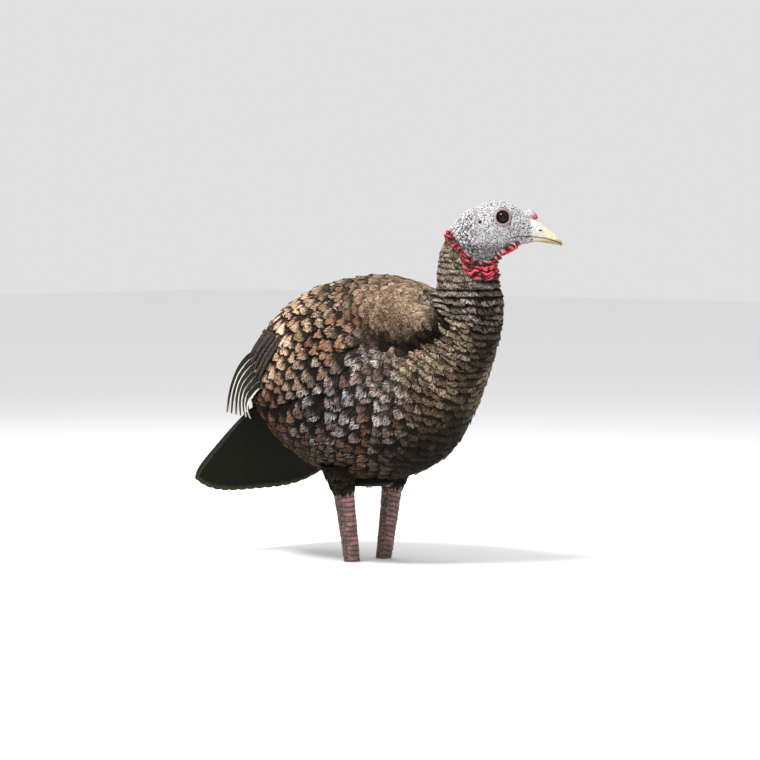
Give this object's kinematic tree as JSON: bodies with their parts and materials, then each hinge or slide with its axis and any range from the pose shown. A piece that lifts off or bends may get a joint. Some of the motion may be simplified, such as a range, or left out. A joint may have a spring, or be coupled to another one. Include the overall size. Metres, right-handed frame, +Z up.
{
  "type": "turkey decoy",
  "caption": "Life-size hen turkey decoy with hollow moulded body on a stake socket, turning lift-off head, plug-in tail, wing tips and leg stubs.",
  "frame": {"origin": "mouth of the stake socket under the belly, on its axis", "axes": "-Y is the way the body faces, +X its left side, +Z up"},
  "size_m": [0.2034, 0.3739, 0.3736],
  "materials": {
    "feathers": "matt painted moulding",
    "dark_feathers": "matt painted moulding",
    "head_skin": "matt painted soft moulding",
    "horn": "satin",
    "glass_eye": "glossy",
    "leg_skin": "satin painted moulding",
    "nylon": "satin",
    "acetal": "satin",
    "steel": "bright",
    "rubber": "matt"
  },
  "bodies": {
    "stake_bearing": {"swivel_sleeve": "acetal", "thrust_ball": "steel"},
    "body": {"body_shell": "feathers", "neck_collar": "nylon", "collar_cap": "nylon", "collar_screws": "steel", "stake_tube": "nylon", "tube_cap": "nylon", "belly_flange": "nylon", "flange_screws": "steel", "tail_socket": "nylon", "tail_socket_screws": "steel", "leg_left": "leg_skin", "leg_right": "leg_skin", "leg_pins": "steel", "wing_tip_left": "dark_feathers", "wing_tip_right": "dark_feathers"},
    "neck_swivel": {"swivel_ring": "acetal", "neck_o_ring": "rubber"},
    "head": {"neck_plug": "nylon", "plug_screws": "steel", "neck_shell": "feathers", "head_shell": "head_skin", "beak": "horn", "eye_left": "glass_eye", "eye_right": "glass_eye"},
    "tail": {"tail_fan": "dark_feathers"}
  },
  "joints": [
    {"name": "stake_swivel", "type": "hinge", "parent": "stake_bearing", "child": "body", "pos_m": [0, 0, 0], "axis": [0, 0, 1], "continuous": true},
    {"name": "neck_turn", "type": "hinge", "parent": "body", "child": "neck_swivel", "pos_m": [0, -0.1386, 0.206], "axis": [0, 0, 1], "range_deg": [-132, 48]},
    {"name": "head_lift", "type": "slide", "parent": "neck_swivel", "child": "head", "axis": [0, 0, 1], "range_m": [0, 0.05]},
    {"name": "tail_pull", "type": "slide", "parent": "body", "child": "tail", "axis": [0, 0.3584, -0.9336], "range_m": [0, 0.05]}
  ]
}
